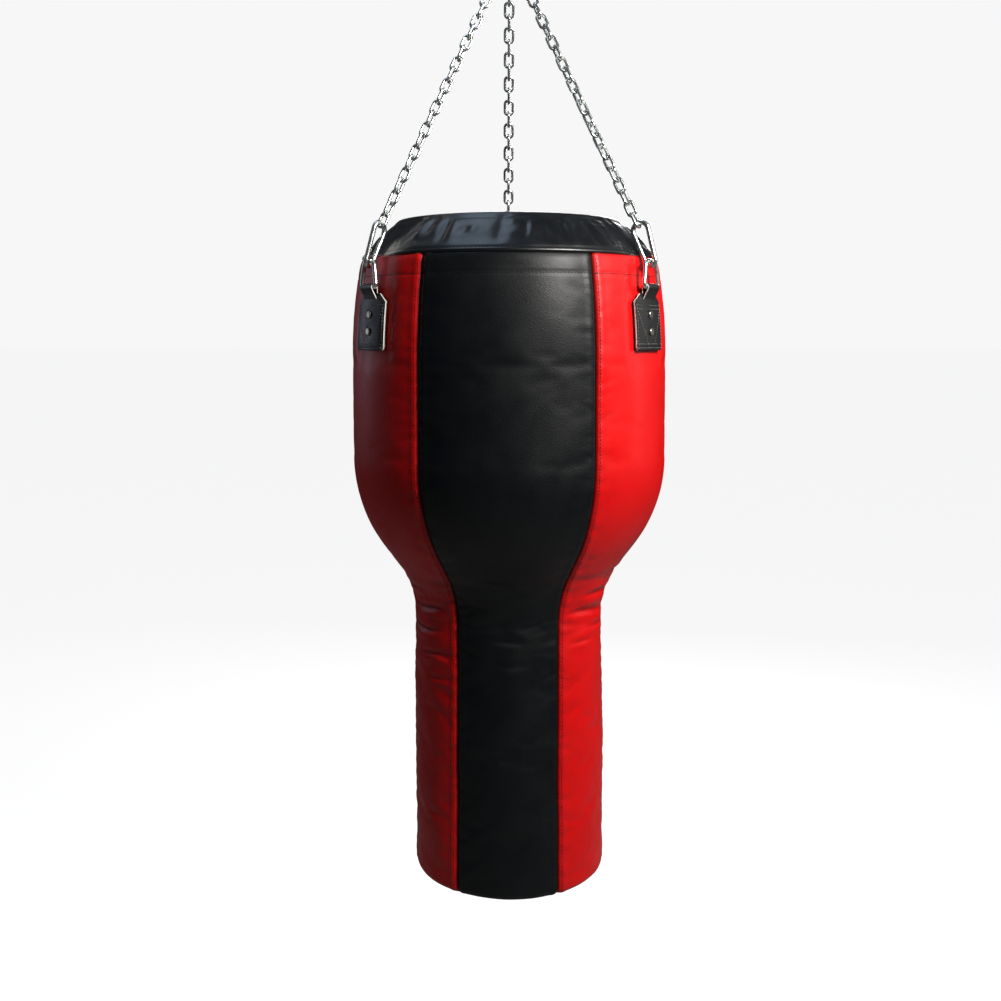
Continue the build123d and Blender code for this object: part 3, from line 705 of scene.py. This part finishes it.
def base_cover():
    """The base disc: it bellies out a little, and its edge is sewn in, with painted shade along the sewn
    edge.
    """
    rings, columns = 40, 192
    radius = np.linspace(0.6, BASE_DISC_R, rings)
    phi = np.radians(360 * np.arange(columns) / columns)
    t = radius / BASE_DISC_R
    sag = -3.2 * (1 - t ** 2) * smooth_step(1 - t, 0, 0.15)
    ripple = np.zeros((rings, columns))
    for _ in range(14):
        waves = dice.integers(2, 15)
        ripple += np.cos(waves * phi[None, :] + dice.uniform(0, 6.3) + 3 * t[:, None]) / waves
    loose = smooth_step(t, 0.2, 0.8)[:, None] * (1 - bell(t - 1, 0.05))[:, None]
    drop = sag[:, None] + 0.7 * ripple * loose
    drop += 0.8 * bell(radius - BASE_DISC_R, 2.5)[:, None]
    outer = round_axis(radius[:, None], phi, drop)
    inner = outer.copy()
    inner[..., 2] += SKIN
    # Painted shade along the sewn edge.
    crease_shade = np.tile(0.8 * bell(radius - BASE_DISC_R, 2.0)[:, None], (1, columns))
    return shell("base_cover", outer[::-1], inner[::-1], [BLACK], closed=True,
                 paints={"crease_shade": crease_shade[::-1]})


finish_soft(base_cover(), "base_disc")


def lid_cover(name, side):
    """Half a lid: from the zip's slot and the halves' meeting line out to the collar, with painted shade
    along its seam to the collar.
    """
    inner_path = np.array([(-LID_R, 0), (-SLOT_HALF - 0.5, 0), (-SLOT_HALF, SLOT_WIDE),
                           (SLOT_HALF, SLOT_WIDE), (SLOT_HALF + 0.5, 0), (LID_R, 0)], float)
    steps = np.linalg.norm(np.diff(inner_path, axis=0), axis=1)
    along = np.concatenate([[0], np.cumsum(steps)])
    columns, rows = 121, 30
    here = np.linspace(0, along[-1], columns)
    inner_x = np.interp(here, along, inner_path[:, 0])
    inner_y = np.interp(here, along, inner_path[:, 1])
    angle = np.pi * (1 - here / along[-1])
    outer_x, outer_y = LID_R * np.cos(angle), LID_R * np.sin(angle)
    t = np.linspace(0, 1, rows)[:, None]
    x = inner_x * (1 - t) + outer_x * t
    y = side * (inner_y * (1 - t) + outer_y * t)
    ends = np.sin(np.pi * np.linspace(0, 1, columns))[None, :]
    z = RIM_Z + 2.0 * np.sin(np.pi * t) * ends
    for _ in range(22):
        way = dice.uniform(0, 2 * math.pi)
        size = dice.uniform(28, 110)
        across = x * math.cos(way) + y * math.sin(way)
        wave = np.cos(across * 2 * math.pi / size + dice.uniform(0, 6.3))
        z = z + 0.16 * size / 50 * wave * np.sin(np.pi * t) * ends
    z = z - 0.7 * bell((1 - t) * 100, 4)
    points = np.stack([x, y, z], axis=-1)
    backs = points.copy()
    backs[..., 2] -= LID_SKIN
    # Painted shade along the lid's outer edge, at the seam to the collar.
    crease_shade = 0.5 * bell((1 - t) * 100, 3) * np.ones_like(x)
    if side < 0:
        points, backs, crease_shade = points[:, ::-1], backs[:, ::-1], crease_shade[:, ::-1]
    return shell(name, points[::-1], backs[::-1], [COLLAR], paints={"crease_shade": crease_shade[::-1]})


for name, side in (("lid_front", -1), ("lid_rear", 1)):
    finish_soft(lid_cover(f"{name}_cover", side), name)


# --- tabs --------------------------------------------------------------------------------------
def on_skin(phi, across, height, lift):
    """Points at distances across a tab and heights, lifted off the skin."""
    radius = np.vectorize(bulge_radius)(height)
    return round_axis(radius + lift, math.radians(phi) + across / radius, height)


def tab_layer(name, phi, low_lift, high_lift, shrink, edge_finish):
    """One layer of a tab's hide, between two lifts off the skin: quilted, riveted and stitched down, with
    painted shade along its stitch line.
    """
    columns, rows = 57, 49
    half = PATCH_HALF - shrink
    across = np.linspace(-1, 1, columns) * half
    past = np.clip(np.abs(across) - (half - PATCH_CORNER), 0, PATCH_CORNER)
    low = PATCH_LOW + shrink + PATCH_CORNER - np.sqrt(np.maximum(PATCH_CORNER ** 2 - past ** 2, 0))
    slope = np.clip((np.abs(across) - PATCH_NECK) / (PATCH_HALF - PATCH_NECK), 0, 1)
    high = PATCH_TOP - shrink - (PATCH_TOP - PATCH_HIGH) * slope
    t = np.linspace(0, 1, rows)[:, None]
    height = low * (1 - t) + high * t
    wide = across[None, :] * np.ones_like(t)
    edge = np.minimum(np.maximum(half - np.abs(wide), 0), np.minimum(height - low, high - height))
    puff = 0.35 * smooth_step(edge, 3.5, 9) - 0.5 * bell(edge - PATCH_HEM, 0.8) - 0.45 * bell(edge, 0.9)
    for z in RIVET_HEIGHTS:
        puff = puff - 0.5 * bell(np.hypot(wide, height - z) - 5.0, 1.6)
    wave = 0.25 * np.sin(wide / 9 + phi) * np.sin(height / 13 + phi)
    front = on_skin(phi, wide, height, high_lift + puff + wave)
    back = on_skin(phi, wide, height, low_lift + 0.25 * bell(edge, 0.9))
    # Painted shade along the stitch groove.
    crease_shade = 0.8 * bell(edge - PATCH_HEM, 0.7)
    return shell(name, front, back, [HIDE, CUT_EDGE], edge_finish, paints={"crease_shade": crease_shade})


def strap_loop(name, phi):
    """The strap folded round the ring's bar: black hide with pale cut edges."""
    bar = WIRE_R + STRAP_SLACK + STRAP_HALF_THICK
    end_r, out_r = bulge_radius(STRAP_END_Z), bulge_radius(STRAP_OUT_Z)
    path = [(end_r + 1.4, STRAP_END_Z), (out_r + 1.6, STRAP_OUT_Z)]
    for k in range(17):
        angle = math.radians(200 - 220 * k / 16)
        path.append((BAR_X + bar * math.cos(angle), BAR_Z + bar * math.sin(angle)))
    path = np.array(path + [(out_r + 3.7, STRAP_OUT_Z), (end_r + 3.3, STRAP_END_Z)])
    way = np.gradient(path, axis=0)
    way /= np.linalg.norm(way, axis=1)[:, None]
    out = np.stack([-way[:, 1], way[:, 0]], axis=1)
    columns = 15
    across = np.linspace(-STRAP_HALF, STRAP_HALF, columns)
    thick = STRAP_HALF_THICK - 0.25 * bell(STRAP_HALF - np.abs(across), 0.8)
    angle = math.radians(phi)
    outward = np.array([math.sin(angle), -math.cos(angle)])
    beside = np.array([math.cos(angle), math.sin(angle)])

    def layer(sign):
        """The strap's outer face at 1, its inner face at -1."""
        r = path[:, :1] + sign * out[:, :1] * thick[None, :]
        z = path[:, 1:] + sign * out[:, 1:] * thick[None, :]
        flat = r[..., None] * outward + across[None, :, None] * beside
        return np.concatenate([flat, z[..., None]], axis=-1)
    return shell(name, layer(1), layer(-1), [HIDE, CUT_EDGE], 1,
                 paints={"crease_shade": np.zeros((len(path), columns))})


# --- stitching ---------------------------------------------------------------------------------
def stitch_tree():
    """Geometry nodes that lay thread along sewn lines: a capsule for each stitch."""
    tree = bpy.data.node_groups.new("sewn_stitches", "GeometryNodeTree")
    face = tree.interface
    face.new_socket("Geometry", in_out="INPUT", socket_type="NodeSocketGeometry")
    for label, value in (("Stitch Pitch", 0.0042), ("Stitch Length", 0.0030),
                         ("Thread Radius", 0.00042)):
        face.new_socket(label, in_out="INPUT", socket_type="NodeSocketFloat").default_value = value
    face.new_socket("Thread", in_out="INPUT", socket_type="NodeSocketMaterial")
    face.new_socket("Geometry", in_out="OUTPUT", socket_type="NodeSocketGeometry")
    nodes, links = tree.nodes, tree.links
    entry, leave = nodes.new("NodeGroupInput"), nodes.new("NodeGroupOutput")
    curve = nodes.new("GeometryNodeMeshToCurve")
    links.new(entry.outputs["Geometry"], curve.inputs["Mesh"])
    points = nodes.new("GeometryNodeCurveToPoints")
    points.mode = "LENGTH"
    links.new(curve.outputs["Curve"], points.inputs["Curve"])
    links.new(entry.outputs["Stitch Pitch"], points.inputs["Length"])
    thread = nodes.new("GeometryNodeMeshUVSphere")
    thread.inputs["Segments"].default_value = 6
    thread.inputs["Rings"].default_value = 5
    thread.inputs["Radius"].default_value = 1.0
    half = nodes.new("ShaderNodeMath")
    half.operation = "MULTIPLY"
    half.inputs[1].default_value = 0.5
    links.new(entry.outputs["Stitch Length"], half.inputs[0])
    size = nodes.new("ShaderNodeCombineXYZ")
    links.new(entry.outputs["Thread Radius"], size.inputs["X"])
    links.new(entry.outputs["Thread Radius"], size.inputs["Y"])
    links.new(half.outputs["Value"], size.inputs["Z"])
    laid = nodes.new("GeometryNodeInstanceOnPoints")
    links.new(points.outputs["Points"], laid.inputs["Points"])
    links.new(thread.outputs["Mesh"], laid.inputs["Instance"])
    links.new(points.outputs["Rotation"], laid.inputs["Rotation"])
    links.new(size.outputs["Vector"], laid.inputs["Scale"])
    real = nodes.new("GeometryNodeRealizeInstances")
    links.new(laid.outputs["Instances"], real.inputs["Geometry"])
    dyed = nodes.new("GeometryNodeSetMaterial")
    links.new(real.outputs["Geometry"], dyed.inputs["Geometry"])
    links.new(entry.outputs["Thread"], dyed.inputs["Material"])
    links.new(dyed.outputs["Geometry"], leave.inputs["Geometry"])
    return tree


STITCHES = stitch_tree()


def sew(name, lines, thread, pitch=0.0042, length=0.0030, radius=0.00042):
    """Stitches along lines of points, as one plain mesh riding on the bag."""
    vertices, edges = [], []
    for line in lines:
        first = len(vertices)
        vertices += [tuple(p) for p in place(np.array(line))]
        edges += [(i, i + 1) for i in range(first, len(vertices) - 1)]
    mesh = bpy.data.meshes.new(name + "_lines")
    mesh.from_pydata(vertices, edges, [])
    seam = bpy.data.objects.new(name, mesh)
    bpy.context.scene.collection.objects.link(seam)
    sewing = seam.modifiers.new("sewing", "NODES")
    sewing.node_group = STITCHES
    values = {"Stitch Pitch": pitch, "Stitch Length": length, "Thread Radius": radius, "Thread": thread}
    for item in STITCHES.interface.items_tree:
        if item.in_out == "INPUT" and item.name in values:
            sewing[item.identifier] = values[item.name]
    graph = bpy.context.evaluated_depsgraph_get()
    laid = bpy.data.meshes.new_from_object(seam.evaluated_get(graph), depsgraph=graph)
    laid.name = name
    laid.polygons.foreach_set("use_smooth", np.ones(len(laid.polygons), dtype=bool))
    seam.modifiers.remove(sewing)
    seam.data = laid
    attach(seam, BAG)


def raise_line(points, lift):
    """A line of surface points moved outwards by a little."""
    flat = np.array(points, float)
    far = np.hypot(flat[:, 0], flat[:, 1])[:, None]
    flat[:, :2] *= 1 + lift / np.maximum(far, 1)
    return flat


def seam_lines():
    """A line at each side of every upright seam."""
    made = []
    radius = SIDE[0]
    for number in range(len(PANELS)):
        for side in (-1, 1):
            line = []
            for i in range(4, SIDE_ROWS - 3):
                step = side * SEAM_HEM / (radius[i] * 2 * math.pi / COLUMNS)
                low = math.floor(step)
                blend = step - low
                first = side_points[i, (PANEL_COLUMNS * number + low) % COLUMNS]
                second = side_points[i, (PANEL_COLUMNS * number + low + 1) % COLUMNS]
                line.append(first * (1 - blend) + second * blend)
            made.append(raise_line(line, 0.12))
    return made


def row_line(points, row, lift):
    """A whole row of a sheet as a closed line."""
    line = points[row]
    return raise_line(np.concatenate([line, line[:1]]), lift)


sew("seam_stitches", seam_lines(), BLACK_THREAD)
band = int(np.argmin(np.abs(SIDE[1] - STITCH_BAND_Z)))
sew("band_stitches", [row_line(side_points, band, 0.1)], BLACK_THREAD)
edge_row = int(np.argmin(np.abs(RIM[2] - COLLAR_HEM)))
sew("collar_stitches", [row_line(collar_points, edge_row, 0.1)], BLACK_THREAD)


def tab_lines(phi):
    """The sewn lines of a tab: double along top and bottom, single at the sides, and a V."""
    side = PATCH_HALF - PATCH_HEM
    low, low_inner, high_inner, high = 671.2, 675.6, 716.6, 721.0
    runs = [((-side, z), (side, z)) for z in (low, low_inner, high, high_inner)]
    runs += [((x, low), (x, high)) for x in (-side, side)]
    runs += [((x, high_inner), (foot, low_inner)) for x, foot in ((-side, -8), (side, 8))]
    t = np.linspace(0, 1, 40)
    return [on_skin(phi, x0 + (x1 - x0) * t, z0 + (z1 - z0) * t, np.full_like(t, 5.35))
            for (x0, z0), (x1, z1) in runs]


for leg, phi in LEGS.items():
    front_layer = tab_layer(f"{leg}_tab_hide", phi, 2.45, 5.1, 0.0, 1)
    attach(front_layer, BAG)
    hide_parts(f"{leg}_tab_patch")
    back_layer = tab_layer(f"{leg}_tab_backing", phi, -0.6, 2.4, 1.2, 0)
    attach(back_layer, BAG)
    loop = strap_loop(f"{leg}_strap_loop", phi)
    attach(loop, BAG)
    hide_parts(f"{leg}_tab_strap")
    sew(f"{leg}_tab_stitches", tab_lines(phi), GREY_THREAD, 0.0036, 0.0027, 0.0004)


# --- hardware keeps its solids -----------------------------------------------------------------
def finish_of(node):
    """The finish of a solid that is shown as it is."""
    if node.endswith("_tab_rivets"):
        return RIVET
    if node in ("lower_race", "upper_race", "race_balls", "swivel_nut") or node.endswith("gate_pin"):
        return STEEL
    if node.startswith("zip_tape"):
        return TAPE
    if node.startswith("zip_"):
        return BRASS
    if node == "inner_sack":
        return CANVAS
    if node == "filling":
        return STUFFING
    return ZINC


for node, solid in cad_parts.items():
    solid.data.materials.clear()
    solid.data.materials.append(finish_of(node))


# --- studio, in metres -------------------------------------------------------------------------
FLOOR_Z, FLOOR_HALF = -1.75, 90.0
CAMERA_LENS, SENSOR = 1172.5 / 1001 * 36, 36
CAMERA_SPOT = (-0.011, -1.5, -0.576)
CAMERA_PITCH = 4.0
CAMERA_SHIFT = -0.085
HEAD = (0, 0, -0.62)


def seen_or_not(nodes, links, seen, unseen, output):
    """One shader for what the camera sees directly, another for the light that a surface sends on."""
    rays = nodes.new("ShaderNodeLightPath")
    choose = nodes.new("ShaderNodeMixShader")
    links.new(rays.outputs["Is Camera Ray"], choose.inputs["Fac"])
    links.new(unseen, choose.inputs[1])
    links.new(seen, choose.inputs[2])
    links.new(choose.outputs["Shader"], output.inputs["Surface"])


def floor_and_room():
    """A wide floor and a room: nearly white to the camera, dim as a source of light."""
    corners = [(x * FLOOR_HALF, y * FLOOR_HALF, FLOOR_Z) for x, y in ((-1, -1), (1, -1), (1, 1), (-1, 1))]
    floor = add_piece("floor", corners, [(0, 1, 2, 3)], [])
    pale, nodes, links, shader = new_finish("pale_floor", (0.25, 0.25, 0.25), 0.95, specular=0.0)
    floor.data.materials.append(pale)
    glow = nodes.new("ShaderNodeEmission")
    glow.inputs["Color"].default_value = (1, 1, 1, 1)
    glow.inputs["Strength"].default_value = 0.90
    lit = nodes.new("ShaderNodeAddShader")
    links.new(shader.outputs["BSDF"], lit.inputs[0])
    links.new(glow.outputs["Emission"], lit.inputs[1])
    seen_or_not(nodes, links, lit.outputs["Shader"], shader.outputs["BSDF"], nodes["Material Output"])

    world = bpy.data.worlds.new("pale_room")
    bpy.context.scene.world = world
    world.use_nodes = True
    nodes, links = world.node_tree.nodes, world.node_tree.links
    room = nodes["Background"]
    room.inputs["Color"].default_value = (0.80, 0.88, 1.0, 1)
    room.inputs["Strength"].default_value = 0.06
    backdrop = nodes.new("ShaderNodeBackground")
    backdrop.inputs["Color"].default_value = (1, 1, 1, 1)
    backdrop.inputs["Strength"].default_value = 0.93
    seen_or_not(nodes, links, backdrop.outputs["Background"], room.outputs["Background"],
                nodes["World Output"])


def lamp(name, spot, aim, power, width, height, color=(1, 1, 1)):
    """A soft box at a spot, turned to face an aim."""
    data = bpy.data.lights.new(name, "AREA")
    data.energy = power
    data.color = color
    data.shape = "RECTANGLE"
    data.size, data.size_y = width, height
    obj = bpy.data.objects.new(name, data)
    obj.location = spot
    obj.rotation_euler = (Vector(aim) - Vector(spot)).to_track_quat("-Z", "Y").to_euler()
    bpy.context.scene.collection.objects.link(obj)


def studio():
    """The floor and room, a key light high on the right in front, fill lights and the camera."""
    floor_and_room()
    lamp("key", (0.86, -0.96, 0.12), HEAD, 39, 0.5, 0.5, (1, 0.97, 0.93))
    lamp("top_window", (-0.28, -0.05, 0.60), (-0.1, -0.1, -0.45), 2.0, 0.65, 0.45, (0.62, 0.78, 1))
    lamp("right_edge", (1.5, 0.2, -0.3), HEAD, 2.5, 0.3, 1.2)
    lamp("left_edge", (-1.6, 0.9, -0.2), HEAD, 3, 0.4, 1.2, (0.8, 0.85, 1))
    lamp("rear", (0.35, 2.3, 0.3), HEAD, 42, 0.9, 0.9)
    scene = bpy.context.scene
    scene.view_settings.view_transform = "Standard"
    camera = bpy.data.cameras.new("camera")
    camera.sensor_width = SENSOR
    camera.lens = CAMERA_LENS
    camera.shift_y = CAMERA_SHIFT
    eye = bpy.data.objects.new("camera", camera)
    eye.location = CAMERA_SPOT
    eye.rotation_euler = (math.radians(90 - CAMERA_PITCH), 0, 0)
    scene.collection.objects.link(eye)
    scene.camera = eye


studio()
